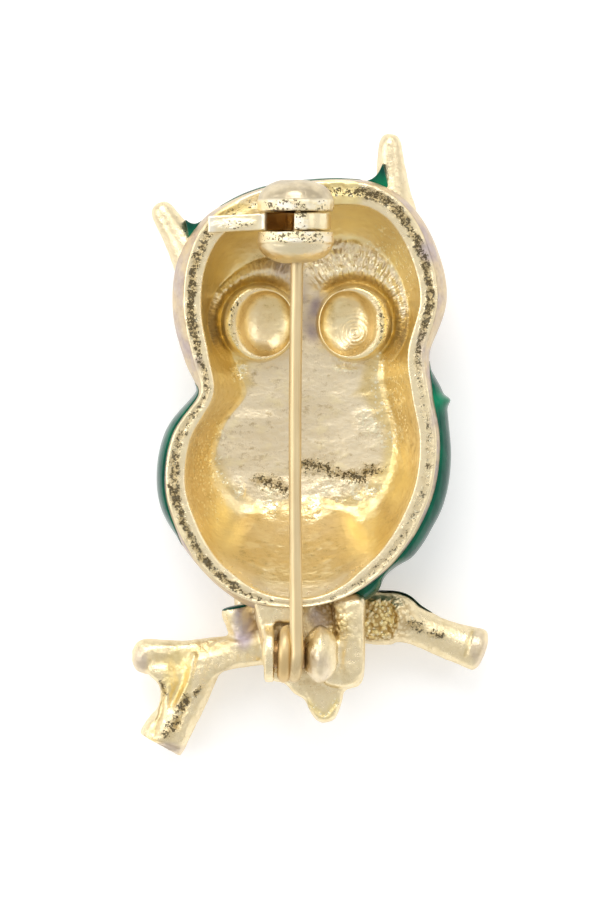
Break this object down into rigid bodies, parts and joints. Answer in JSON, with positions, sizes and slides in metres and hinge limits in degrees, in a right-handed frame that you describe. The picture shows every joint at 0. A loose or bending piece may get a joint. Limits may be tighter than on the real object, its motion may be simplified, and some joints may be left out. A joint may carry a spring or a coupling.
{
  "type": "owl brooch",
  "caption": "Owl brooch on a forked branch: a hollow gold-tone casting with green enamel, a hinged pin stem and a locking catch with a lever.",
  "frame": {"origin": "on the surface that the brooch lies on, under the middle of its outline", "axes": "+X across the owl to the right of the picture, +Y up the owl to its ears, +Z from its front to its back"},
  "size_m": [0.0257, 0.0453, 0.0126],
  "materials": {
    "gold_casting": "gold plated cast metal, bright and slightly rough",
    "green_enamel": "glossy dark green enamel",
    "eye_glass": "polished dark green cabochon",
    "gold_fittings": "gold plated, smooth",
    "gold_wire": "gold plated wire, smooth"
  },
  "bodies": {
    "brooch": {"casting": "gold_casting", "wing_enamel_left": "green_enamel", "wing_enamel_right": "green_enamel", "crown_enamel": "green_enamel", "ear_enamel_left": "green_enamel", "ear_enamel_right": "green_enamel", "branch_enamel_left": "green_enamel", "branch_enamel_right": "green_enamel", "eye_left": "eye_glass", "eye_right": "eye_glass", "hinge_rivet": "gold_fittings"},
    "pin": {"pin_stem": "gold_wire"},
    "catch": {"catch_rotor": "gold_fittings"}
  },
  "joints": [
    {"name": "pin_hinge", "type": "hinge", "parent": "brooch", "child": "pin", "pos_m": [-0.00093, -0.015, 0.00833], "axis": [1, 0, 0], "range_deg": [0, 105]},
    {"name": "catch_turn", "type": "hinge", "parent": "brooch", "child": "catch", "pos_m": [-0.00093, 0.0163, 0.0099], "axis": [0, 1, 0], "range_deg": [0, 130]}
  ]
}
